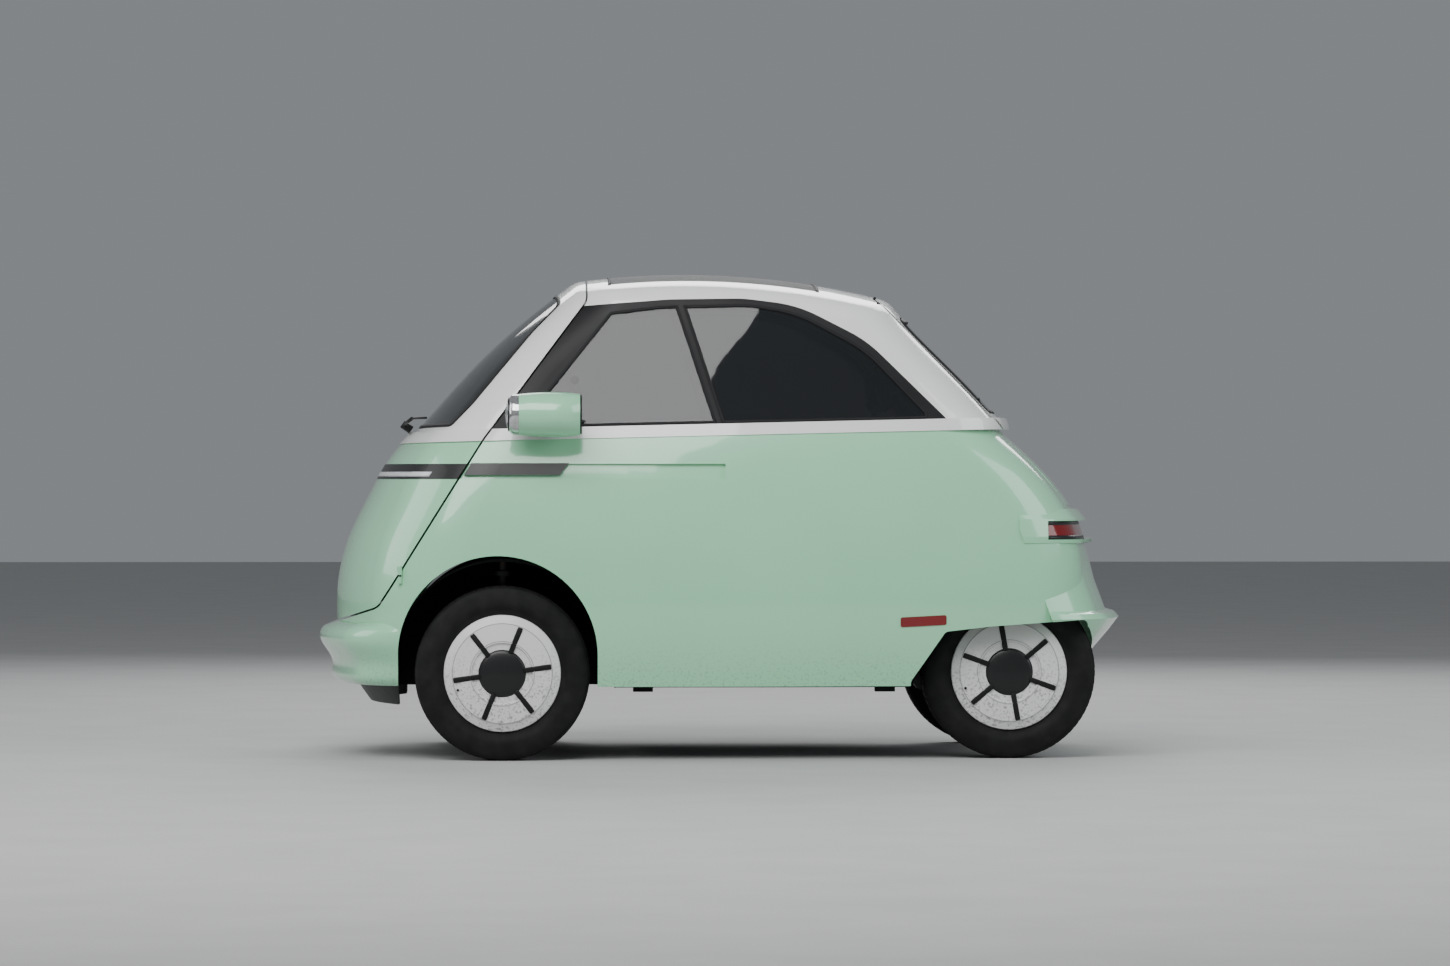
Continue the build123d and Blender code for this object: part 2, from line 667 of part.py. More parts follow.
SUBFRAME_LOW = 150.0
with BuildPart() as subframe:
    add(block((540, -250, SUBFRAME_LOW), (800, 250, FLOOR_LOW)))
    add(block((590, -200, SUBFRAME_LOW - 1), (750, 200, FLOOR_LOW - 20)), mode=Mode.SUBTRACT)
with BuildPart() as lower_arm:
    with BuildSketch(Plane.XY.offset(SUBFRAME_LOW - 8)):
        Polygon((FRONT_AXLE_X - 120, 250.3), (FRONT_AXLE_X + 110, 250.3),
                (FRONT_AXLE_X + 24, KINGPIN_Y + 10), (FRONT_AXLE_X - 24, KINGPIN_Y + 10),
                align=None)
    extrude(amount=KNUCKLE_LOW - SEAT_GAP - SUBFRAME_LOW + 8)
    add(rod((FRONT_AXLE_X, KINGPIN_Y, SUBFRAME_LOW),
            (FRONT_AXLE_X, KINGPIN_Y, KNUCKLE_LOW + 36), BALL_R))
with BuildPart() as rack:
    add(rod((512, -330, 190), (512, 330, 190), 24))
    add(rod((512, -400, 190), (512, 400, 190), 9))
    for y in (-100, 100):
        add(block((500, y - 20, 190), (540, y + 20, FLOOR_LOW)))
save(join(subframe.part, mirrored(lower_arm.part), rack.part), "front_subframe")

# Rear suspension and drive
with BuildPart() as trailing_arm:
    pivot = (BULKHEAD_X - 60, 395, 235)
    add(rod((pivot[0], 340, pivot[2]), (pivot[0], 422, pivot[2]), 30))
    with BuildSketch(Plane.XZ.offset(-418)):
        Polygon((pivot[0], pivot[2] - 24), (pivot[0], pivot[2] + 24),
                (REAR_AXLE_X, TYRE_R + 36), (REAR_AXLE_X - 30, TYRE_R),
                (REAR_AXLE_X, TYRE_R - 36), align=None)
    extrude(amount=40)
    add(rod((REAR_AXLE_X, 380, TYRE_R), (REAR_AXLE_X, REAR_TRACK + HUB_FACE - SEAT_GAP, TYRE_R),
            40))
    add(rod((REAR_AXLE_X, 460, TYRE_R), (REAR_AXLE_X, REAR_TRACK + 10, TYRE_R), STUB_R))
    add(rod((REAR_AXLE_X, 462, TYRE_R), (REAR_AXLE_X, 470, TYRE_R), 120))
with BuildPart() as rear_axle:
    add(mirrored(trailing_arm.part))
    add(rod((pivot[0], -355, pivot[2]), (pivot[0], 355, pivot[2]), 24))
save(rear_axle.part, "rear_axle")
with BuildPart() as shock:
    add(rod((REAR_AXLE_X, 390, TYRE_R + 40 + SEAT_GAP), (REAR_AXLE_X, 390, BOOT_FLOOR), 16))
    add(rod((REAR_AXLE_X, 390, 390), (REAR_AXLE_X, 390, BOOT_FLOOR - 12), 30))
save(join(mirrored(strut.part), mirrored(shock.part)), "spring_struts")
with BuildPart() as drive:
    add(block((-1000, -210, 200), (-760, 210, 430)))
    fillet(drive.edges().filter_by(Axis.Y), 40)
    add(rod((REAR_AXLE_X, -372, TYRE_R), (REAR_AXLE_X, 372, TYRE_R), 14))
    for y in (-150, 150):
        add(block((-900, y - 30, 400), (-840, y + 30, BOOT_FLOOR)))
save(drive.part, "drive_unit")

# Floor, wheelhouses and frame
house_inner = hull(BODY_ROWS, BODY_ARCS, WALL + SEAT_GAP)
floor_front = FRONT_AXLE_X - FRONT_HOUSE_R - HOUSE_SKIN
with BuildPart() as floor:
    add(block((BULKHEAD_X, -FLOOR_HALF, FLOOR_LOW), (floor_front - SEAT_GAP, FLOOR_HALF, FLOOR_HIGH)))
    add(block((300, -FRONT_HOUSE_Y + 0.3, FLOOR_LOW), (1040, FRONT_HOUSE_Y - 0.3, FLOOR_HIGH)))
    add(block((BULKHEAD_X, -FLOOR_HALF, FLOOR_LOW), (BULKHEAD_X + 14, FLOOR_HALF, BOOT_FLOOR)))
    add(block((-1120, -600, BOOT_FLOOR), (BULKHEAD_X + 14, 600, BOOT_FLOOR + BOOT_PLATE)))
    for y in (-350, 350):
        add(block((BULKHEAD_X - 80, y - 22, FLOOR_LOW), (BULKHEAD_X, y + 22, 290)))
    add(house_inner, mode=Mode.INTERSECT)
    add(rod((BULKHEAD_X - 60, -460, 235), (BULKHEAD_X - 60, 460, 235), 30 + SEAT_GAP),
        mode=Mode.SUBTRACT)
    for x in (-490, 250):
        for y in (-600, 600):
            add(block((x - 30, y - 30, FLOOR_LOW - 14), (x + 30, y + 30, FLOOR_LOW)))
save(floor.part, "floor_pan")


def wheelhouse(x, radius, inner_y, inner_wall, foot):
    """An arched liner over one wheel, with or without a wall towards the car's middle."""
    with BuildPart() as liner:
        for r, near, mode in ((radius + HOUSE_SKIN, inner_y, Mode.ADD),
                              (radius, inner_y + inner_wall, Mode.SUBTRACT)):
            with BuildSketch(Plane.XZ.offset(-near)):
                with Locations((x, TYRE_R)):
                    Circle(r)
                with Locations((x, TYRE_R / 2)):
                    Rectangle(2 * r, TYRE_R)
            extrude(amount=-(FAR - near), mode=mode)
        add(block((-FAR, -FAR, -FAR), (FAR, FAR, foot)), mode=Mode.SUBTRACT)
        add(house_inner, mode=Mode.INTERSECT)
    return liner.part


front_house = wheelhouse(FRONT_AXLE_X, FRONT_HOUSE_R, FRONT_HOUSE_Y, HOUSE_SKIN, FLOOR_LOW)
rear_house = wheelhouse(REAR_AXLE_X, REAR_HOUSE_R, REAR_HOUSE_Y, -HOUSE_SKIN, 300)
save(join(mirrored(front_house), mirrored(rear_house)), "wheelhouses")
with BuildPart() as nose_frame:
    add(block((1030, -340, 290), (1064, 340, 370)))
    for y in (-300, 300):
        add(block((975, y - 30, FLOOR_HIGH), (1030, y + 30, 370)))
save(nose_frame.part, "nose_frame")

# Cabin: battery box under the seats, seats, steering and pedals
save(block((-530, -480, FLOOR_HIGH), (-40, 480, SEAT_LOW - SEAT_GAP)), "battery_box")
with BuildPart() as cushion:
    with BuildSketch(Plane.XZ.offset(-STEER_Y - 235)):
        Polygon((-400, SEAT_LOW), (-390, 500), (60, 540), (80, 510), (60, SEAT_LOW + 40),
                (-20, SEAT_LOW), align=None)
    extrude(amount=470)
save(mirrored(cushion.part), "seat_cushions")
with BuildPart() as backrest:
    with BuildSketch(Plane.XZ.offset(-STEER_Y - 225)):
        Polygon((-391, 500), (-440, 760), (-500, 1060),
                (-545, 1060), (-535, 800), (-500, SEAT_LOW), (-400.5, SEAT_LOW), align=None)
    extrude(amount=450)
save(mirrored(backrest.part), "seat_backrests")
with BuildPart() as headrest:
    add(block((-540, STEER_Y - 110, 1090), (-480, STEER_Y + 110, 1230)))
    for y in (STEER_Y - 50, STEER_Y + 50):
        add(rod((-520, y, 1060.3), (-520, y, 1095), 7))
save(mirrored(headrest.part), "headrests")

slope = math.radians(STEER_SLOPE)
along = (math.cos(slope), 0, -math.sin(slope))
wheel_centre = (STEER_X, STEER_Y, STEER_Z)
wheel_plane = Plane(origin=wheel_centre, x_dir=(0, 1, 0), z_dir=along)


def down_column(distance):
    """A point on the steering column's axis, ahead of the steering wheel."""
    return tuple(c + distance * a for c, a in zip(wheel_centre, along))


with BuildPart() as steering_wheel:
    with BuildSketch(Plane.XZ.offset(-STEER_Y)):
        with Locations((STEER_X + (STEER_R - 14) * math.sin(slope),
                        STEER_Z + (STEER_R - 14) * math.cos(slope))):
            Circle(14)
    revolve(axis=Axis(wheel_centre, along))
    with BuildSketch(wheel_plane.offset(8)):
        Circle(52)
        for angle in (0, 180, 270):
            with Locations(Location((0, 0, 0), (0, 0, angle))):
                with Locations(((STEER_R - 14) / 2, 0)):
                    Rectangle(STEER_R - 14, 30)
    extrude(amount=14)
    with BuildSketch(wheel_plane.offset(-8)):
        Circle(50)
    extrude(amount=70)
    with BuildSketch(wheel_plane.offset(30)):
        Circle(10 + PIN_FIT)
    extrude(amount=40, mode=Mode.SUBTRACT)
save(steering_wheel.part, "steering_wheel")
with BuildPart() as column:
    add(rod(down_column(34), down_column(70), 10))
    add(rod(down_column(62.3), down_column(430), 30))
    add(rod(down_column(420), (760, STEER_Y, FLOOR_HIGH - 5), 16))
    with Locations((760, STEER_Y, FLOOR_HIGH + 12)):
        Box(90, 80, 24)
    add(block((-FAR, -FAR, -FAR), (FAR, FAR, FLOOR_HIGH)), mode=Mode.SUBTRACT)
save(column.part, "steering_column")
with BuildPart() as display:
    with BuildSketch(Plane(origin=down_column(150), x_dir=(0, 1, 0), z_dir=along)):
        with Locations((0, 95)):
            RectangleRounded(190, 110, 14)
    extrude(amount=20)
    add(block((430, STEER_Y - 15, 700), (470, STEER_Y + 15, 800)))
    add(rod(down_column(100), down_column(300), 30 + SEAT_GAP), mode=Mode.SUBTRACT)
save(display.part, "instrument_display")
with BuildPart() as pedals:
    for y in (190, 330):
        add(rod((920, y, FLOOR_HIGH + 10), (855, y, 345), 7))
        with Locations(Plane(origin=(852, y, 345), z_dir=(-0.8, 0, 0.6))):
            Box(80, 50, 10)
    add(block((890, 160, FLOOR_HIGH), (950, 360, FLOOR_HIGH + 20)))
save(pedals.part, "pedals")

# Lamp and mirror pods beside the screen
POD_X = 545.0
POD_Y = 765.0
POD_Z = 1053.0
with BuildPart() as pod:
    pod_stations = ((443, 50, 62), (470, 66, 66), (560, 74, 68), (628, 66, 62))
    for x, wide, high in pod_stations:
        with BuildSketch(Plane(origin=(x, POD_Y, POD_Z), x_dir=(0, 1, 0), z_dir=(1, 0, 0))):
            Ellipse(wide, high)
    loft()
save(mirrored(pod.part), "lamp_pods")
with BuildPart() as lens:
    with BuildSketch(Plane(origin=(628.3, POD_Y, POD_Z), x_dir=(0, 1, 0), z_dir=(1, 0, 0))):
        Ellipse(66, 62)
    extrude(amount=30)
    fillet(lens.edges().group_by(Axis.X)[-1], 18)
save(mirrored(lens.part), "headlamps")
with BuildPart() as mirror_glass:
    with BuildSketch(Plane(origin=(442.7, POD_Y, POD_Z), x_dir=(0, 1, 0), z_dir=(1, 0, 0))):
        Ellipse(45, 57)
    extrude(amount=-4)
save(mirrored(mirror_glass.part), "mirror_glasses")
with BuildPart() as bracket:
    add(block((510, 657.6, 1000), (590, POD_Y - 45, 1024)))
    add([pod.part, belt], mode=Mode.SUBTRACT)
save(mirrored(bracket.part), "pod_brackets")

# Wiper and inner bar of the door
save(rod((972.8, -40, 1008.6), (996, -40, 1026), 12), "wiper")
with BuildPart() as bar:
    add(rod((820, -420, 800), (820, 420, 800), 22))
    for y in (-400, 400):
        add(block((800, y - 20, 785), (1100, y + 20, 815)))
    add(house_inner, mode=Mode.INTERSECT)
save(bar.part, "door_inner_bar")
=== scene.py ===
import bpy
import bmesh
import math
from mathutils import Matrix, Vector


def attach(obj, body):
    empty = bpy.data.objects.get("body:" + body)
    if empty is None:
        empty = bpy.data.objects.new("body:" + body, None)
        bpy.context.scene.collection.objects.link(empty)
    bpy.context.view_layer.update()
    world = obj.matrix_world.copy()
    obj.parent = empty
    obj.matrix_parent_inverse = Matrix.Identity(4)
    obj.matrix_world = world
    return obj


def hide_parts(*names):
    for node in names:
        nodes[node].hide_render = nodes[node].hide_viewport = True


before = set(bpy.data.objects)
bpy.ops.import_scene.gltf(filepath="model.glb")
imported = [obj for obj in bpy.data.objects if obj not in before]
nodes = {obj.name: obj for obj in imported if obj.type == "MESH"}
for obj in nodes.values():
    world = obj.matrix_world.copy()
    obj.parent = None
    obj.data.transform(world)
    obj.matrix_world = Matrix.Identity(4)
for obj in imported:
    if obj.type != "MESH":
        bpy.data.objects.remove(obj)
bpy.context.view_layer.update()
wheelNames = ["front_left", "front_right", "rear_left", "rear_right"]


# materials
def newMaterial(name):
    mat = bpy.data.materials.new(name)
    mat.use_nodes = True
    tree = mat.node_tree
    shader = tree.nodes["Principled BSDF"]
    coords = tree.nodes.new("ShaderNodeTexCoord")
    return mat, tree, shader, coords


def noiseNode(tree, coords, scale, detail=3.0):
    noise = tree.nodes.new("ShaderNodeTexNoise")
    noise.inputs["Scale"].default_value = scale
    noise.inputs["Detail"].default_value = detail
    tree.links.new(coords.outputs["Object"], noise.inputs["Vector"])
    return noise


def rampNode(tree, source, low, high, lowColor, highColor):
    ramp = tree.nodes.new("ShaderNodeValToRGB")
    ramp.color_ramp.elements[0].position = low
    ramp.color_ramp.elements[1].position = high
    ramp.color_ramp.elements[0].color = lowColor
    ramp.color_ramp.elements[1].color = highColor
    tree.links.new(source, ramp.inputs["Fac"])
    return ramp


def grey(value):
    return (value, value, value, 1)


def bumpFrom(tree, shader, source, strength, distance):
    bump = tree.nodes.new("ShaderNodeBump")
    bump.inputs["Strength"].default_value = strength
    bump.inputs["Distance"].default_value = distance
    tree.links.new(source, bump.inputs["Height"])
    tree.links.new(bump.outputs["Normal"], shader.inputs["Normal"])


def shade(color, factor):
    return (color[0] * factor, color[1] * factor, color[2] * factor, 1)


# road dust gathers on painted parts, from none at the high level to all at the low one
dustSizes = {"high": 0.38, "low": 0.2, "scale": 130, "color": (0.05, 0.048, 0.042, 1)}


def paintMaterial(name, color, coat, roughness, dust=0.0):
    mat, tree, shader, coords = newMaterial(name)
    flake = noiseNode(tree, coords, 2.2, 4)
    tone = rampNode(tree, flake.outputs["Fac"], 0.3, 0.7, shade(color, 0.97), shade(color, 1.02))
    surface = tone.outputs["Color"]
    if dust:
        split = tree.nodes.new("ShaderNodeSeparateXYZ")
        tree.links.new(coords.outputs["Object"], split.inputs["Vector"])
        fall = tree.nodes.new("ShaderNodeMapRange")
        fall.inputs["From Min"].default_value = dustSizes["high"]
        fall.inputs["From Max"].default_value = dustSizes["low"]
        fall.inputs["To Min"].default_value = 0.0
        fall.inputs["To Max"].default_value = dust
        tree.links.new(split.outputs["Z"], fall.inputs["Value"])
        speck = noiseNode(tree, coords, dustSizes["scale"], 3)
        cut = rampNode(tree, speck.outputs["Fac"], 0.52, 0.68, grey(0), grey(1))
        amount = tree.nodes.new("ShaderNodeMath")
        amount.operation = "MULTIPLY"
        tree.links.new(fall.outputs["Result"], amount.inputs[0])
        tree.links.new(cut.outputs["Color"], amount.inputs[1])
        mix = tree.nodes.new("ShaderNodeMix")
        mix.data_type = "RGBA"
        mix.inputs[7].default_value = dustSizes["color"]
        tree.links.new(amount.outputs["Value"], mix.inputs[0])
        tree.links.new(surface, mix.inputs[6])
        surface = mix.outputs[2]
    tree.links.new(surface, shader.inputs["Base Color"])
    shader.inputs["Roughness"].default_value = roughness
    shader.inputs["Coat Weight"].default_value = coat
    shader.inputs["Coat Roughness"].default_value = 0.04
    shader.inputs["IOR"].default_value = 1.5
    ripple = noiseNode(tree, coords, 900, 2)
    bumpFrom(tree, shader, ripple.outputs["Fac"], 0.04, 0.0002)
    return mat


def plasticMaterial(name, color, roughness, grain=700, depth=0.0003):
    mat, tree, shader, coords = newMaterial(name)
    wear = noiseNode(tree, coords, 6, 5)
    tone = rampNode(tree, wear.outputs["Fac"], 0.3, 0.7, shade(color, 0.8), shade(color, 1.2))
    tree.links.new(tone.outputs["Color"], shader.inputs["Base Color"])
    gloss = rampNode(tree, wear.outputs["Fac"], 0.2, 0.8, grey(roughness * 0.85),
                     grey(roughness * 1.15))
    tree.links.new(gloss.outputs["Color"], shader.inputs["Roughness"])
    shader.inputs["Specular IOR Level"].default_value = 0.3
    leather = noiseNode(tree, coords, grain, 2)
    bumpFrom(tree, shader, leather.outputs["Fac"], 0.25, depth)
    return mat


def metalMaterial(name, color, roughness, rust=0.0):
    mat, tree, shader, coords = newMaterial(name)
    cast = noiseNode(tree, coords, 60, 5)
    tone = rampNode(tree, cast.outputs["Fac"], 0.35, 0.75, shade(color, 0.75), shade(color, 1.15))
    surface = tone.outputs["Color"]
    if rust:
        patch = noiseNode(tree, coords, 14, 8)
        amount = rampNode(tree, patch.outputs["Fac"], 0.56, 0.66, grey(0), grey(rust))
        mix = tree.nodes.new("ShaderNodeMix")
        mix.data_type = "RGBA"
        mix.inputs[7].default_value = (0.11, 0.045, 0.02, 1)
        tree.links.new(amount.outputs["Color"], mix.inputs[0])
        tree.links.new(surface, mix.inputs[6])
        surface = mix.outputs[2]
    tree.links.new(surface, shader.inputs["Base Color"])
    shader.inputs["Metallic"].default_value = 0.9
    gloss = rampNode(tree, cast.outputs["Fac"], 0.2, 0.8, grey(roughness * 0.8),
                     grey(roughness * 1.2))
    tree.links.new(gloss.outputs["Color"], shader.inputs["Roughness"])
    bumpFrom(tree, shader, cast.outputs["Fac"], 0.15, 0.0006)
    return mat


def glassMaterial(name, tint, roughness, alpha):
    mat, tree, shader, coords = newMaterial(name)
    film = noiseNode(tree, coords, 3, 4)
    tone = rampNode(tree, film.outputs["Fac"], 0.3, 0.7, shade(tint, 0.9), shade(tint, 1.1))
    tree.links.new(tone.outputs["Color"], shader.inputs["Base Color"])
    shader.inputs["Roughness"].default_value = roughness
    shader.inputs["IOR"].default_value = 1.5
    shader.inputs["Alpha"].default_value = alpha
    shader.inputs["Specular IOR Level"].default_value = 0.5
    shader.inputs["Coat Weight"].default_value = 0.5
    shader.inputs["Coat Roughness"].default_value = 0.01
    return mat


def fabricMaterial(name, color, weave=650):
    mat, tree, shader, coords = newMaterial(name)
    warp = tree.nodes.new("ShaderNodeTexWave")
    warp.inputs["Scale"].default_value = weave
    warp.bands_direction = "Y"
    tree.links.new(coords.outputs["Object"], warp.inputs["Vector"])
    weft = tree.nodes.new("ShaderNodeTexWave")
    weft.inputs["Scale"].default_value = weave
    weft.bands_direction = "DIAGONAL"
    tree.links.new(coords.outputs["Object"], weft.inputs["Vector"])
    both = tree.nodes.new("ShaderNodeMath")
    both.operation = "ADD"
    tree.links.new(warp.outputs["Fac"], both.inputs[0])
    tree.links.new(weft.outputs["Fac"], both.inputs[1])
    fade = noiseNode(tree, coords, 9, 5)
    tone = rampNode(tree, fade.outputs["Fac"], 0.3, 0.75, shade(color, 0.8), shade(color, 1.25))
    tree.links.new(tone.outputs["Color"], shader.inputs["Base Color"])
    shader.inputs["Roughness"].default_value = 0.9
    shader.inputs["Sheen Weight"].default_value = 0.35
    shader.inputs["Sheen Roughness"].default_value = 0.5
    bumpFrom(tree, shader, both.outputs["Value"], 0.35, 0.0006)
    return mat


def rubberMaterial(name):
    mat, tree, shader, coords = newMaterial(name)
    scuff = noiseNode(tree, coords, 25, 6)
    tone = rampNode(tree, scuff.outputs["Fac"], 0.35, 0.75, (0.005, 0.005, 0.0055, 1),
                    (0.013, 0.0128, 0.0125, 1))
    tree.links.new(tone.outputs["Color"], shader.inputs["Base Color"])
    shader.inputs["Roughness"].default_value = 0.72
    shader.inputs["Specular IOR Level"].default_value = 0.25
    fine = noiseNode(tree, coords, 500, 2)
    bumpFrom(tree, shader, fine.outputs["Fac"], 0.2, 0.0003)
    return mat


mintPaint = paintMaterial("mintPaint", (0.34, 0.74, 0.46), 1.0, 0.24, 0.3)
whitePaint = paintMaterial("whitePaint", (0.85, 0.86, 0.84), 1.0, 0.3)
coverPlastic = paintMaterial("coverPlastic", (0.74, 0.74, 0.73), 0.2, 0.45, 0.6)
# the dark grey below is painted shade: it colours the thin rings on each wheel cover as the shadow
# lines round its recessed panels
coverShadowLine = paintMaterial("coverShadowLine", (0.34, 0.34, 0.34), 0.2, 0.45)
blackPlastic = plasticMaterial("blackPlastic", (0.008, 0.008, 0.009), 0.5)
glossBlack = paintMaterial("glossBlack", (0.004, 0.004, 0.0045), 0.1, 0.38)
rimBlack = plasticMaterial("rimBlack", (0.006, 0.006, 0.0065), 0.45)
linerBlack = plasticMaterial("linerBlack", (0.006, 0.006, 0.006), 0.9, 180, 0.001)
chassisMetal = metalMaterial("chassisMetal", (0.05, 0.05, 0.052), 0.5, 0.35)
castMetal = metalMaterial("castMetal", (0.42, 0.42, 0.43), 0.42)
batteryCase = metalMaterial("batteryCase", (0.09, 0.09, 0.1), 0.45)
chrome = metalMaterial("chrome", (0.75, 0.75, 0.76), 0.1)
mirrorGlass = metalMaterial("mirrorGlass", (0.85, 0.86, 0.88), 0.03)
clearGlass = glassMaterial("clearGlass", (0.012, 0.014, 0.016), 0.02, 0.66)
darkGlass = glassMaterial("darkGlass", (0.01, 0.011, 0.012), 0.03, 0.9)
lensGlass = glassMaterial("lensGlass", (0.75, 0.78, 0.8), 0.02, 0.3)
redLens = glassMaterial("redLens", (0.2, 0.004, 0.006), 0.12, 0.96)
seatFabric = fabricMaterial("seatFabric", (0.035, 0.036, 0.04))
roofFabric = fabricMaterial("roofFabric", (0.02, 0.02, 0.022), 420)
tyreRubber = rubberMaterial("tyreRubber")
gripPlastic = plasticMaterial("gripPlastic", (0.018, 0.018, 0.019), 0.6, 500, 0.0006)
sealRubber = plasticMaterial("sealRubber", (0.012, 0.012, 0.013), 0.65, 400)
lampWhite = paintMaterial("lampWhite", (0.72, 0.74, 0.76), 0.6, 0.25)
discMetal = metalMaterial("discMetal", (0.3, 0.3, 0.31), 0.35, 0.3)
screenGlass = glassMaterial("screenGlass", (0.01, 0.012, 0.016), 0.06, 1.0)

finishes = {
    mintPaint: ["left_side_panel", "right_side_panel", "front_bumper", "rear_bumper",
                "front_door_panel", "tailgate_panel", "lamp_pods"],
    whitePaint: ["roof_panel", "front_door_frame", "tailgate_frame", "belt_mouldings"],
    blackPlastic: ["front_valance", "window_frames", "pod_brackets", "wiper", "door_inner_bar",
                   "steering_column"],
    glossBlack: ["side_strips", "light_bar"],
    roofFabric: ["sunroof_panel"],
    linerBlack: ["wheelhouses", "floor_pan"],
    clearGlass: ["front_side_windows", "rear_side_windows", "windscreen"],
    darkGlass: ["rear_window"],
    redLens: ["rear_lamps"],
    chrome: ["headlamps"],
    mirrorGlass: ["mirror_glasses"],
    chassisMetal: ["front_subframe", "rear_axle", "spring_struts", "left_knuckle",
                   "right_knuckle", "nose_frame", "door_hinge_pin", "tailgate_hinge_pins",
                   "pedals"],
    castMetal: ["drive_unit"],
    batteryCase: ["battery_box"],
    screenGlass: ["instrument_display"],
    gripPlastic: ["steering_wheel"],
    tyreRubber: [w + "_tyre" for w in wheelNames],
    rimBlack: [w + "_rim" for w in wheelNames],
    coverPlastic: [w + "_cover" for w in wheelNames],
}
for mat, names in finishes.items():
    for name in names:
        nodes[name].data.materials.clear()
        nodes[name].data.materials.append(mat)
print("materials done")


# helpers
def pieceFrom(bm, name, body, mat, smooth=True):
    bmesh.ops.remove_doubles(bm, verts=bm.verts, dist=1e-6)
    bmesh.ops.recalc_face_normals(bm, faces=bm.faces)
    mesh = bpy.data.meshes.new(name)
    bm.to_mesh(mesh)
    bm.free()
    for poly in mesh.polygons:
        poly.use_smooth = smooth
    obj = bpy.data.objects.new(name, mesh)
    bpy.context.scene.collection.objects.link(obj)
    mesh.materials.append(mat)
    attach(obj, body)
    return obj


def roundedBox(bm, centre, size, radius, turn=None, segments=3):
    made = bmesh.ops.create_cube(bm, size=1.0)
    verts = made["verts"]
    bmesh.ops.scale(bm, vec=size, verts=verts)
    edges = list({e for v in verts for e in v.link_edges})
    result = bmesh.ops.bevel(bm, geom=edges, offset=radius, affect="EDGES", segments=segments,
                             profile=0.5, material=-1)
    moved = list({v for f in result["faces"] for v in f.verts} | {v for v in verts if v.is_valid})
    if turn is not None:
        bmesh.ops.rotate(bm, cent=(0, 0, 0), matrix=turn, verts=moved)
    bmesh.ops.translate(bm, vec=centre, verts=moved)
    return moved


def tube(bm, start, end, radius, sides=16):
    start, end = Vector(start), Vector(end)
    span = end - start
    made = bmesh.ops.create_cone(bm, cap_ends=True, segments=sides, radius1=radius, radius2=radius,
                                 depth=span.length)
    turn = span.to_track_quat("Z", "Y").to_matrix()
    bmesh.ops.rotate(bm, cent=(0, 0, 0), matrix=turn, verts=made["verts"])
    bmesh.ops.translate(bm, vec=(start + end) / 2, verts=made["verts"])
    return made["verts"]


# wheels
wheelDetail = {
    "radius": 0.2665,
    "blocks": 68,
    "blockHigh": 0.009,
    "blockSink": 0.0048,
    "blockFill": 0.78,
    "blockEdge": 0.0012,
    "frontX": 0.679,
    "rearX": -0.874,
    "frontY": 0.620,
    "rearY": 0.500,
}
valveSizes = {"x": 0.135, "z": -0.05, "from": 0.06, "to": 0.088, "radius": 0.004}


# the tread is four rows of slanted blocks, spun round the axle
def makeTread(centre, side):
    bm = bmesh.new()
    count = wheelDetail["blocks"]
    outer = wheelDetail["radius"]
    step = 2 * math.pi / count
    rows = ((-0.041, 0.019, 0.55), (-0.0145, 0.0225, -0.4),
            (0.0145, 0.0225, 0.4), (0.041, 0.019, -0.55))
    for across, width, slant in rows:
        verts = bmesh.ops.create_cube(bm, size=1.0)["verts"]
        bmesh.ops.scale(bm, vec=(outer * step * wheelDetail["blockFill"], width,
                                 wheelDetail["blockHigh"]), verts=verts)
        for v in verts:
            v.co.x += v.co.y * slant
        top = {e for v in verts for e in v.link_edges if all(end.co.z > 0 for end in e.verts)}
        bmesh.ops.translate(bm, vec=(0, across * side, outer - wheelDetail["blockSink"]),
                            verts=verts)
        bmesh.ops.bevel(bm, geom=list(top), offset=wheelDetail["blockEdge"], affect="EDGES",
                        segments=1, profile=0.5, material=-1)
    bmesh.ops.spin(bm, geom=bm.verts[:] + bm.edges[:] + bm.faces[:], cent=(0, 0, 0), axis=(0, 1, 0),
                   angle=2 * math.pi * (count - 1) / count, steps=count - 1, use_duplicate=True)
    bmesh.ops.translate(bm, vec=centre, verts=bm.verts)
    return bm


# the carcass replaces the plain tyre so that its grooves are real
def makeCarcass(centre, side):
    profile = [(-0.060, 0.167), (-0.0655, 0.180), (-0.0705, 0.198), (-0.0722, 0.215),
               (-0.0705, 0.232), (-0.0665, 0.248), (-0.0625, 0.2575), (-0.0565, 0.2625),
               (-0.050, 0.2635),
               (-0.032, 0.2642), (-0.031, 0.2585), (-0.027, 0.2585), (-0.026, 0.2648),
               (-0.003, 0.2652), (-0.002, 0.2590), (0.002, 0.2590), (0.003, 0.2652),
               (0.026, 0.2648), (0.027, 0.2585), (0.031, 0.2585), (0.032, 0.2642),
               (0.050, 0.2635), (0.0565, 0.2625), (0.0625, 0.2575), (0.0665, 0.248),
               (0.0705, 0.232), (0.0722, 0.215), (0.0705, 0.198), (0.069, 0.1965),
               (0.0655, 0.180), (0.060, 0.167)]
    bm = bmesh.new()
    verts = [bm.verts.new((0, a * side, r)) for a, r in profile]
    for a, b in zip(verts, verts[1:] + verts[:1]):
        bm.edges.new((a, b))
    bmesh.ops.spin(bm, geom=bm.verts[:] + bm.edges[:], cent=(0, 0, 0), axis=(0, 1, 0),
                   angle=2 * math.pi, steps=120, use_merge=True, use_duplicate=False)
    bmesh.ops.translate(bm, vec=centre, verts=bm.verts)
    return bm


# side and middle of each wheel
def wheelPlace(w):
    side = 1 if "left" in w else -1
    word = "front" if w.startswith("front") else "rear"
    return side, Vector((wheelDetail[word + "X"], side * wheelDetail[word + "Y"],
                         wheelDetail["radius"]))


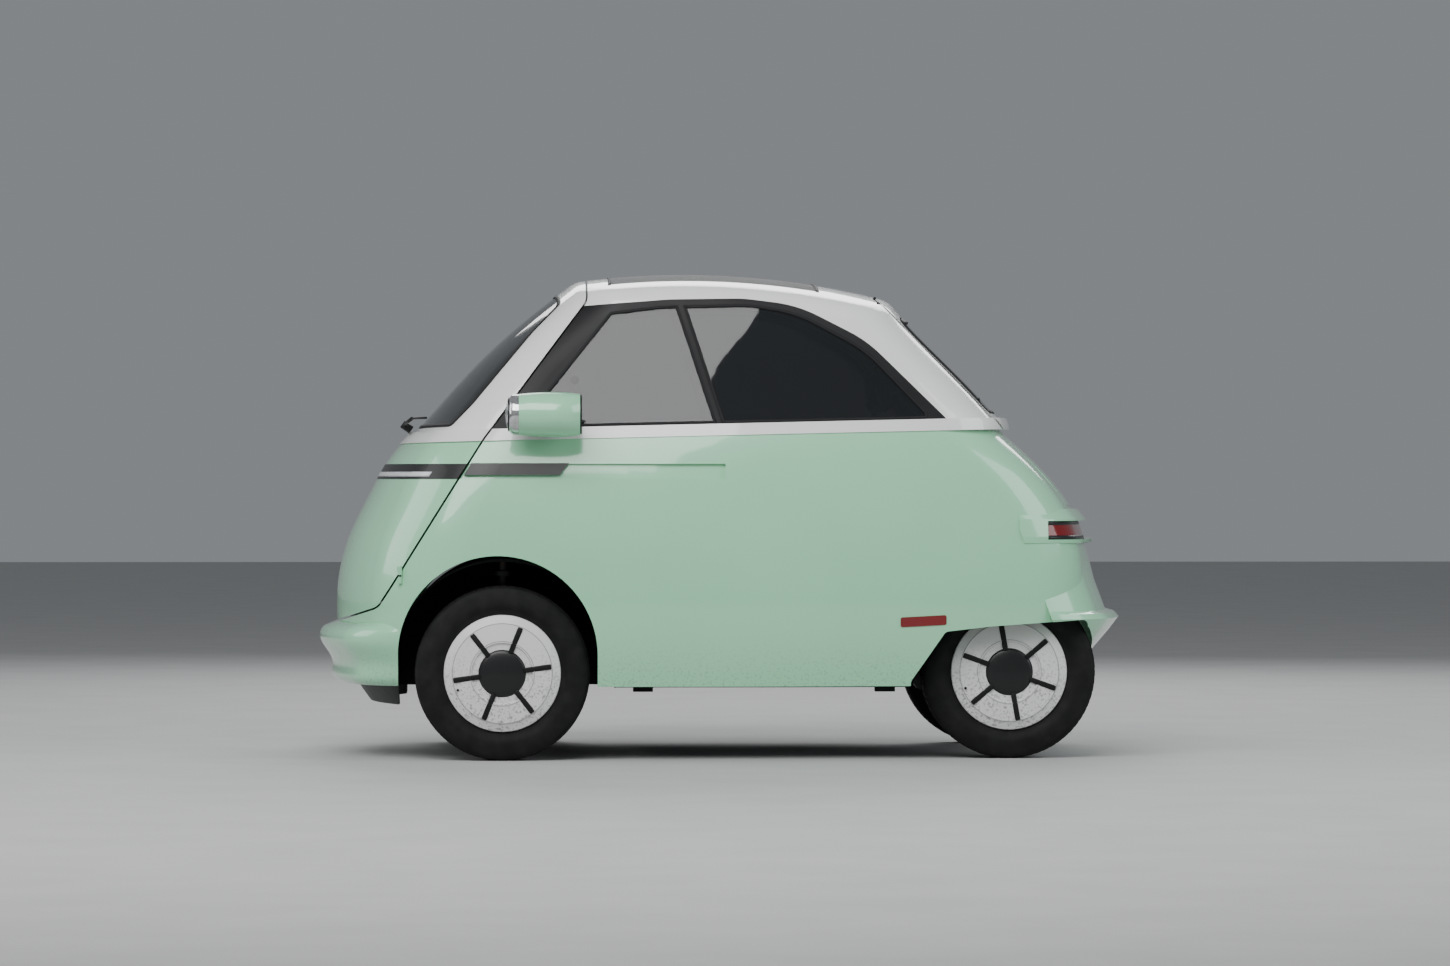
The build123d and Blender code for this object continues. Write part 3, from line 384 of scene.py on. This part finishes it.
for w in wheelNames:
    side, centre = wheelPlace(w)
    carcass = pieceFrom(makeCarcass(centre, side), w + "_carcass", w + "_wheel", tyreRubber)
    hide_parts(w + "_tyre")
    pieceFrom(makeTread(centre, side), w + "_tread", w + "_wheel", tyreRubber,
              False)
    bm = bmesh.new()
    foot = centre + Vector((valveSizes["x"], 0, valveSizes["z"]))
    tube(bm, foot + Vector((0, side * valveSizes["from"], 0)),
         foot + Vector((0, side * valveSizes["to"], 0)), valveSizes["radius"], 12)
    pieceFrom(bm, w + "_valve", w + "_wheel", rimBlack)
print("wheels done")


# the pale cover carries black bars over its slots, two thin raised rings and a domed cap; the rings
# are dark grey, a painted shadow line where the cover's recessed panels end
coverSizes = {
    "barFrom": 0.066,
    "barTo": 0.150,
    "barWide": 0.016,
    "barBack": 0.079,
    "barFace": 0.0897,
    "barEdge": 0.0028,
    "bars": 6,
    "frontTurn": 8,
    "rearTurn": 40,
    "cap": 0.0705,
    "capFoot": 0.0832,
    "capDepth": 0.0098,
    "capSink": 0.004,
    # radius and face of the two thin rings that carry the painted shadow lines
    "rims": ((0.098, 0.0886), (0.152, 0.0836)),
    "shadowRingThick": 0.0011,
}


def makeBars(centre, side, firstTurn):
    bm = bmesh.new()
    middle = (coverSizes["barFrom"] + coverSizes["barTo"]) / 2
    length = coverSizes["barTo"] - coverSizes["barFrom"]
    deep = coverSizes["barFace"] - coverSizes["barBack"]
    for k in range(coverSizes["bars"]):
        turn = -side * math.radians(firstTurn) + 2 * math.pi * k / coverSizes["bars"]
        place = Vector((middle, side * (coverSizes["barBack"] + deep / 2), 0))
        moved = roundedBox(bm, place, (length, deep, coverSizes["barWide"]),
                           coverSizes["barEdge"])
        bmesh.ops.rotate(bm, cent=(0, 0, 0), matrix=Matrix.Rotation(-turn, 3, "Y"), verts=moved)
    bmesh.ops.translate(bm, vec=centre, verts=bm.verts)
    return bm


def makeCap(centre, side):
    bm = bmesh.new()
    rows = [(coverSizes["cap"] * math.cos(a), coverSizes["capDepth"] * math.sin(a))
            for a in (math.pi / 2 * i / 10 for i in range(11))]
    rows.insert(0, (coverSizes["cap"], -coverSizes["capSink"]))
    verts = [bm.verts.new((0, side * (coverSizes["capFoot"] + out), r)) for r, out in rows]
    for a, b in zip(verts, verts[1:]):
        bm.edges.new((a, b))
    bmesh.ops.spin(bm, geom=bm.verts[:] + bm.edges[:], cent=(0, 0, 0), axis=(0, 1, 0),
                   angle=2 * math.pi, steps=72, use_merge=True, use_duplicate=False)
    bmesh.ops.translate(bm, vec=centre, verts=bm.verts)
    return bm


# two thin rings per cover, drawn in dark grey as painted shadow lines round the recessed panels
def makeShadowRings(centre, side):
    bm = bmesh.new()
    for radius, face in coverSizes["rims"]:
        made = bmesh.ops.create_circle(bm, segments=8, radius=coverSizes["shadowRingThick"])
        bmesh.ops.rotate(bm, cent=(0, 0, 0), matrix=Matrix.Rotation(math.pi / 2, 3, "Y"),
                         verts=made["verts"])
        bmesh.ops.translate(bm, vec=(0, side * face, radius), verts=made["verts"])
        edges = list({e for v in made["verts"] for e in v.link_edges})
        bmesh.ops.spin(bm, geom=made["verts"] + edges, cent=(0, 0, 0), axis=(0, 1, 0),
                       angle=2 * math.pi, steps=96, use_merge=True, use_duplicate=False)
    bmesh.ops.translate(bm, vec=centre, verts=bm.verts)
    return bm


for w in wheelNames:
    side, centre = wheelPlace(w)
    firstTurn = coverSizes["frontTurn" if w.startswith("front") else "rearTurn"]
    pieceFrom(makeBars(centre, side, firstTurn), w + "Bars", w + "_wheel", rimBlack)
    pieceFrom(makeCap(centre, side), w + "Cap", w + "_wheel", glossBlack)
    pieceFrom(makeShadowRings(centre, side), w + "CoverShadowRings", w + "_wheel", coverShadowLine)
print("wheel faces done")


# trims that follow a CAD skin are a cut-out copy of it, lifted off a little
def skinStrip(nodeName, name, body, mat, low, high, lift, wall=0.0012):
    bm = bmesh.new()
    bm.from_mesh(nodes[nodeName].data)
    bmesh.ops.remove_doubles(bm, verts=bm.verts, dist=1e-5)
    for corner, sign in ((low, -1), (high, 1)):
        for axis in range(3):
            point = [0, 0, 0]
            normal = [0, 0, 0]
            point[axis] = corner[axis]
            normal[axis] = sign
            bmesh.ops.bisect_plane(bm, geom=bm.verts[:] + bm.edges[:] + bm.faces[:],
                                   plane_co=point, plane_no=normal, clear_outer=True)
    bm.normal_update()
    hidden = [f for f in bm.faces if f.normal.dot(outward(f.calc_center_median())) < 0.45]
    bmesh.ops.delete(bm, geom=hidden, context="FACES")
    bm.normal_update()
    moves = [(v, v.normal * lift) for v in bm.verts]
    for v, move in moves:
        v.co += move
    bmesh.ops.solidify(bm, geom=bm.faces[:], thickness=wall)
    return pieceFrom(bm, name, body, mat)


def outward(point):
    away = Vector((point.x * 0.7, point.y * 1.6, (point.z - 0.75) * 0.7))
    return away.normalized()


# a rubber band lies along the outer rim of a pane
def rimSeal(nodeName, name, body, mat, width, lift=0.0006, wall=0.0022):
    bm = bmesh.new()
    bm.from_mesh(nodes[nodeName].data)
    bmesh.ops.remove_doubles(bm, verts=bm.verts, dist=1e-5)
    bm.normal_update()
    hidden = [f for f in bm.faces if f.normal.dot(outward(f.calc_center_median())) < 0.62]
    bmesh.ops.delete(bm, geom=hidden, context="FACES")
    bmesh.ops.inset_region(bm, faces=bm.faces[:], thickness=width, use_boundary=True,
                           use_even_offset=True)
    rims = {v for e in bm.edges if len(e.link_faces) == 1 for v in e.verts}
    inside = [f for f in bm.faces if not any(v in rims for v in f.verts)]
    bmesh.ops.delete(bm, geom=inside, context="FACES")
    bm.normal_update()
    moves = [(v, v.normal * (lift + wall)) for v in bm.verts]
    for v, move in moves:
        v.co += move
    bmesh.ops.solidify(bm, geom=bm.faces[:], thickness=wall)
    return pieceFrom(bm, name, body, mat)


trimSizes = {
    "lift": 0.0008,
    "ledLow": 0.8655,
    "ledHigh": 0.8795,
    "ledHalf": 0.61,
    "tailLow": 0.6845,
    "tailHigh": 0.7165,
    "tailFoot": 0.6,
    "tailFront": -0.9,
    "glassSeal": 0.012,
    "seal": 0.009,
    "far": 2.0,
}


def makeTrims():
    far = trimSizes["far"]
    lift = trimSizes["lift"]
    skinStrip("light_bar", "lightBarLens", "front_door", lampWhite,
              (-far, -trimSizes["ledHalf"], trimSizes["ledLow"]),
              (far, trimSizes["ledHalf"], trimSizes["ledHigh"]), lift)
    for name, low, high in (("tailRimTop", trimSizes["tailHigh"], far),
                            ("tailRimFoot", trimSizes["tailFoot"], trimSizes["tailLow"])):
        skinStrip("rear_lamps", name, "body", glossBlack,
                  (-far, -far, low), (trimSizes["tailFront"], far, high), lift)
    for nodeName, name, body, width in (
            ("windscreen", "windscreenSeal", "front_door", "glassSeal"),
            ("rear_window", "rearWindowSeal", "tailgate", "glassSeal"),
            ("front_side_windows", "frontPaneSeals", "body", "seal"),
            ("rear_side_windows", "rearPaneSeals", "body", "seal"),
            ("sunroof_panel", "sunroofSeal", "body", "seal")):
        rimSeal(nodeName, name, body, sealRubber, trimSizes[width])


makeTrims()
print("trims done")


# lamp pods: a bright ring, a domed lens with three lamps behind it, and a mirror rim
podSizes = {"x": 0.6583, "y": 0.765, "z": 1.053, "dome": 0.047, "depth": 0.011,
            "ringThick": 0.0035, "bulb": 0.012, "bulbReach": 0.024,
            "mirrorX": 0.4385, "mirrorWide": 0.045, "mirrorHigh": 0.057}


def spunDome(bm, radius, depth, steps=10, sides=64):
    rows = [(radius * math.cos(a), depth * math.sin(a))
            for a in (math.pi / 2 * i / steps for i in range(steps + 1))]
    verts = [bm.verts.new((high, 0, out)) for out, high in rows]
    for a, b in zip(verts, verts[1:]):
        bm.edges.new((a, b))
    bmesh.ops.spin(bm, geom=bm.verts[:] + bm.edges[:], cent=(0, 0, 0), axis=(1, 0, 0),
                   angle=2 * math.pi, steps=sides, use_merge=True, use_duplicate=False)


def ringTorus(bm, radius, thick, sides=64, around=12):
    earlier = len(bm.verts)
    made = bmesh.ops.create_circle(bm, segments=around, radius=thick)
    bmesh.ops.rotate(bm, cent=(0, 0, 0), matrix=Matrix.Rotation(math.pi / 2, 3, "X"),
                     verts=made["verts"])
    bmesh.ops.rotate(bm, cent=(0, 0, 0), matrix=Matrix.Rotation(math.pi / 2, 3, "Y"),
                     verts=made["verts"])
    bmesh.ops.translate(bm, vec=(0, 0, radius), verts=made["verts"])
    edges = list({e for v in made["verts"] for e in v.link_edges})
    bmesh.ops.spin(bm, geom=made["verts"] + edges, cent=(0, 0, 0), axis=(1, 0, 0),
                   angle=2 * math.pi, steps=sides, use_merge=True, use_duplicate=False)
    bm.verts.ensure_lookup_table()
    return bm.verts[earlier:]


def makePods():
    for side, word in ((1, "left"), (-1, "right")):
        front = (podSizes["x"], side * podSizes["y"], podSizes["z"])
        bm = bmesh.new()
        spunDome(bm, podSizes["dome"], podSizes["depth"])
        bmesh.ops.translate(bm, vec=front, verts=bm.verts)
        pieceFrom(bm, word + "LampLens", "body", lensGlass)
        bm = bmesh.new()
        ringTorus(bm, podSizes["dome"] + 0.001, podSizes["ringThick"])
        bmesh.ops.translate(bm, vec=front, verts=bm.verts)
        pieceFrom(bm, word + "LampRing", "body", glossBlack)
        bm = bmesh.new()
        for k in range(3):
            turn = math.pi / 2 + 2 * math.pi * k / 3
            place = Vector((0.003, podSizes["bulbReach"] * math.cos(turn),
                            podSizes["bulbReach"] * math.sin(turn)))
            made = bmesh.ops.create_uvsphere(bm, u_segments=20, v_segments=10,
                                             radius=podSizes["bulb"])
            bmesh.ops.scale(bm, vec=(0.35, 1, 1), verts=made["verts"])
            bmesh.ops.translate(bm, vec=place + Vector(front), verts=made["verts"])
        pieceFrom(bm, word + "LampLights", "body", lampWhite)
        bm = bmesh.new()
        ring = ringTorus(bm, 1.0, 0.05)
        bmesh.ops.scale(bm, vec=(0.06, podSizes["mirrorWide"], podSizes["mirrorHigh"]), verts=ring)
        bmesh.ops.translate(bm, vec=(podSizes["mirrorX"] + 0.002, front[1], front[2]),
                            verts=bm.verts)
        pieceFrom(bm, word + "MirrorRim", "body", blackPlastic)


makePods()
print("pods done")


# brakes: a disc with a grooved edge on each wheel, and a caliper on what carries it
brakeSizes = {"outer": 0.112, "inner": 0.05, "thick": 0.010, "inset": 0.020,
              "caliper": (0.050, 0.042, 0.085), "reach": 0.098}


def makeDisc(centre, side):
    half = brakeSizes["thick"] / 2
    inset = -side * brakeSizes["inset"]
    low, high = brakeSizes["inner"], brakeSizes["outer"]
    corners = [(-half, low), (-half, high), (-half * 0.4, high), (-half * 0.4, high - 0.008),
               (half * 0.4, high - 0.008), (half * 0.4, high), (half, high), (half, low)]
    bm = bmesh.new()
    verts = [bm.verts.new((0, inset + a, r)) for a, r in corners]
    for a, b in zip(verts, verts[1:] + verts[:1]):
        bm.edges.new((a, b))
    bmesh.ops.spin(bm, geom=bm.verts[:] + bm.edges[:], cent=(0, 0, 0), axis=(0, 1, 0),
                   angle=2 * math.pi, steps=72, use_merge=True, use_duplicate=False)
    bmesh.ops.translate(bm, vec=centre, verts=bm.verts)
    return bm


def makeBrakes():
    for w in wheelNames:
        side, centre = wheelPlace(w)
        pieceFrom(makeDisc(centre, side), w + "Disc", w + "_wheel", discMetal)
        bm = bmesh.new()
        place = centre + Vector((-brakeSizes["reach"], -side * brakeSizes["inset"], 0.02))
        roundedBox(bm, place, brakeSizes["caliper"], 0.008)
        for z in (-0.026, 0.026):
            tube(bm, place + Vector((0, -side * 0.020, z)), place + Vector((0, -side * 0.03, z)),
                 0.008, 6)
        carrier = (w.split("_")[1] + "_knuckle") if w.startswith("front") else "body"
        pieceFrom(bm, w + "Caliper", carrier, castMetal)


makeBrakes()
print("brakes done")


# window catch inside each front pane
catchSizes = {"x": 0.458, "z": 1.160, "y": 0.600}


def makeCatches():
    for side, word in ((1, "left"), (-1, "right")):
        bm = bmesh.new()
        inner = side * catchSizes["y"]
        x, z = catchSizes["x"], catchSizes["z"]
        tube(bm, (x, inner - side * 0.004, z), (x, inner - side * 0.026, z), 0.013, 24)
        roundedBox(bm, (x - 0.004, inner - side * 0.024, z - 0.014), (0.013, 0.010, 0.052), 0.004)
        pieceFrom(bm, word + "WindowCatch", "body", blackPlastic)


makeCatches()


# bolt heads under the front subframe
boltSizes = {"radius": 0.009, "high": 0.006, "washer": 1.5}
boltPlaces = [(0.56, 0.33, 0.150), (0.76, 0.33, 0.150), (0.56, -0.33, 0.150),
              (0.76, -0.33, 0.150)]


def makeBolts():
    bm = bmesh.new()
    for x, y, z in boltPlaces:
        tube(bm, (x, y, z + 0.002), (x, y, z - boltSizes["high"] * 0.35),
             boltSizes["radius"] * boltSizes["washer"], 20)
        tube(bm, (x, y, z), (x, y, z - boltSizes["high"]), boltSizes["radius"], 6)
    pieceFrom(bm, "underbodyBolts", "body", discMetal, False)


makeBolts()
print("small parts done")


# seats: each pad is a smaller block, blown up as cloth, then pressed with channels
seatSizes = {
    "cushion": {"centre": (-0.160, 0.270, 0.466), "size": (0.440, 0.430, 0.110), "lean": 0.0,
                "cap": 0.014, "edge": 0.035},
    "backrest": {"centre": (-0.468, 0.270, 0.730), "size": (0.088, 0.410, 0.610), "lean": -0.10,
                 "cap": 0.012, "edge": 0.030},
    "headrest": {"centre": (-0.510, 0.270, 1.145), "size": (0.046, 0.200, 0.150), "lean": -0.05,
                 "cap": 0.008, "edge": 0.018},
    "voxel": 0.006,
    "pressure": 4.0,
    "frames": 20,
    "channelDepth": 0.007,
    "channelWidth": 0.008,
}


def padBlock(name, sizes):
    bm = bmesh.new()
    roundedBox(bm, (0, 0, 0), sizes["size"], sizes["edge"], None, 5)
    mesh = bpy.data.meshes.new(name)
    bm.to_mesh(mesh)
    bm.free()
    obj = bpy.data.objects.new(name, mesh)
    bpy.context.scene.collection.objects.link(obj)
    return obj


def applyModifiers(obj):
    depsgraph = bpy.context.evaluated_depsgraph_get()
    mesh = bpy.data.meshes.new_from_object(obj.evaluated_get(depsgraph))
    obj.modifiers.clear()
    obj.data = mesh


def inflate(obj, cap):
    remesh = obj.modifiers.new("remesh", "REMESH")
    remesh.mode = "VOXEL"
    remesh.voxel_size = seatSizes["voxel"]
    applyModifiers(obj)
    rest = [v.co.copy() for v in obj.data.vertices]
    cloth = obj.modifiers.new("cloth", "CLOTH")
    cloth.settings.use_pressure = True
    cloth.settings.uniform_pressure_force = seatSizes["pressure"]
    cloth.settings.quality = 4
    cloth.settings.effector_weights.gravity = 0
    cloth.point_cache.frame_end = seatSizes["frames"]
    for number in range(1, seatSizes["frames"] + 1):
        bpy.context.scene.frame_set(number)
    applyModifiers(obj)
    for v, start in zip(obj.data.vertices, rest):
        move = v.co - start
        if move.length > cap:
            v.co = start + move.normalized() * cap
    bpy.context.scene.frame_set(1)


# each channel is a soft groove pressed into the pad along one line
def pressChannels(obj, lines, axis, face, sign):
    depth = seatSizes["channelDepth"]
    width = seatSizes["channelWidth"]
    for v in obj.data.vertices:
        if v.co[face] * sign < 0:
            continue
        near = min(abs(v.co[axis] - line) for line in lines)
        v.co[face] -= sign * depth * math.exp(-(near / width) ** 2)


def makePad(kind, name, nodeName, lines, axis, face, sign):
    sizes = seatSizes[kind]
    obj = padBlock(name, sizes)
    inflate(obj, sizes["cap"])
    subdivide = obj.modifiers.new("smooth", "SUBSURF")
    subdivide.levels = subdivide.render_levels = 1
    applyModifiers(obj)
    pressChannels(obj, lines, axis, face, sign)
    bm = bmesh.new()
    bm.from_mesh(obj.data)
    bmesh.ops.rotate(bm, cent=(0, 0, 0), matrix=Matrix.Rotation(sizes["lean"], 3, "Y"),
                     verts=bm.verts)
    bmesh.ops.translate(bm, vec=sizes["centre"], verts=bm.verts)
    twin = bmesh.ops.duplicate(bm, geom=bm.verts[:] + bm.edges[:] + bm.faces[:])["geom"]
    flipped = [g for g in twin if isinstance(g, bmesh.types.BMVert)]
    for v in flipped:
        v.co.y = -v.co.y
    bpy.data.objects.remove(obj)
    pad = pieceFrom(bm, name, "body", seatFabric)
    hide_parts(nodeName)
    return pad


makePad("cushion", "seatCushionPads", "seat_cushions", (-0.13, -0.04, 0.05, 0.14), 0, 2, 1)
makePad("backrest", "seatBackPads", "seat_backrests", (-0.22, -0.11, 0.0, 0.11, 0.22), 2, 0, 1)
makePad("headrest", "headrestPads", "headrests", (-0.04, 0.04), 2, 0, 1)


# posts carry each headrest on its backrest
postSizes = {"ys": (-0.31, -0.23, 0.23, 0.31), "foot": (-0.500, 1.010), "top": (-0.508, 1.090),
             "radius": 0.006}


def makePosts():
    bm = bmesh.new()
    (footX, footZ), (topX, topZ) = postSizes["foot"], postSizes["top"]
    for y in postSizes["ys"]:
        tube(bm, (footX, y, footZ), (topX, y, topZ), postSizes["radius"], 16)
    pieceFrom(bm, "headrestPosts", "body", chrome)


makePosts()
print("seats done")


# wiper: the arm lies low across the foot of the screen, thinner beyond its middle
wiperSizes = {"pivot": (0.985, -0.04, 1.020), "tip": (0.915, 0.46, 1.046), "hub": 0.013,
              "arm": 0.0055, "end": 0.0035}


def makeWiper():
    bm = bmesh.new()
    pivot = Vector(wiperSizes["pivot"])
    tip = Vector(wiperSizes["tip"])
    tube(bm, pivot - Vector((0.012, 0, 0.008)), pivot + Vector((0.016, 0, 0.012)),
         wiperSizes["hub"], 20)
    middle = pivot.lerp(tip, 0.55) + Vector((0.018, 0, 0.012))
    tube(bm, pivot + Vector((0.01, 0, 0.01)), middle, wiperSizes["arm"], 10)
    tube(bm, middle, tip, wiperSizes["end"], 10)
    return bm


wiperArm = pieceFrom(makeWiper(), "wiperArm", "front_door", blackPlastic)
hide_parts("wiper")


# camera, light, floor
cameraSizes = {"place": (0.5284, 18.068, 0.8645), "yaw": -0.0303, "lens": 141.84,
               "shiftY": -0.0043}
stageSizes = {"floorHalf": 40, "skyColor": (0.78, 0.82, 0.86, 1), "skyStrength": 0.29}
camData = bpy.data.cameras.new("photoCamera")
camData.sensor_width = 36
camData.lens = cameraSizes["lens"]
camData.shift_y = cameraSizes["shiftY"]
camData.clip_end = 200
cam = bpy.data.objects.new("photoCamera", camData)
bpy.context.scene.collection.objects.link(cam)
cam.location = cameraSizes["place"]
cam.rotation_euler = (math.radians(90), 0, math.pi + cameraSizes["yaw"])
bpy.context.scene.camera = cam

floorMat, tree, shader, coords = newMaterial("paleFloor")
grain = noiseNode(tree, coords, 3, 6)
tone = rampNode(tree, grain.outputs["Fac"], 0.3, 0.7, (0.44, 0.44, 0.44, 1),
                (0.48, 0.48, 0.475, 1))
tree.links.new(tone.outputs["Color"], shader.inputs["Base Color"])
shader.inputs["Roughness"].default_value = 0.75
bm = bmesh.new()
bmesh.ops.create_grid(bm, x_segments=1, y_segments=1, size=stageSizes["floorHalf"])
floorMesh = bpy.data.meshes.new("floor")
bm.to_mesh(floorMesh)
bm.free()
floorMesh.materials.append(floorMat)
floor = bpy.data.objects.new("floor", floorMesh)
bpy.context.scene.collection.objects.link(floor)

world = bpy.data.worlds.new("studio")
bpy.context.scene.world = world
world.use_nodes = True
sky = world.node_tree.nodes["Background"]
sky.inputs["Color"].default_value = stageSizes["skyColor"]
sky.inputs["Strength"].default_value = stageSizes["skyStrength"]


def softLight(name, place, target, size, power, color=(1, 1, 1)):
    data = bpy.data.lights.new(name, "AREA")
    data.shape = "RECTANGLE"
    data.size, data.size_y = size
    data.energy = power
    data.color = color
    obj = bpy.data.objects.new(name, data)
    bpy.context.scene.collection.objects.link(obj)
    obj.location = place
    obj.rotation_euler = (Vector(target) - Vector(place)).to_track_quat("-Z", "Y").to_euler()


softLight("keyLight", (2.5, 6.0, 6.5), (0, 0, 0.8), (7, 5), 640)
softLight("sideLight", (-6.0, 3.0, 4.0), (0, 0, 0.8), (5, 4), 190, (0.95, 0.98, 1))
softLight("backLight", (-1.0, -6.5, 5.0), (0, 0, 0.9), (7, 4), 320)
softLight("noseLight", (7.0, 0.0, 3.5), (0, 0, 0.8), (4, 4), 120)
print("stage done")
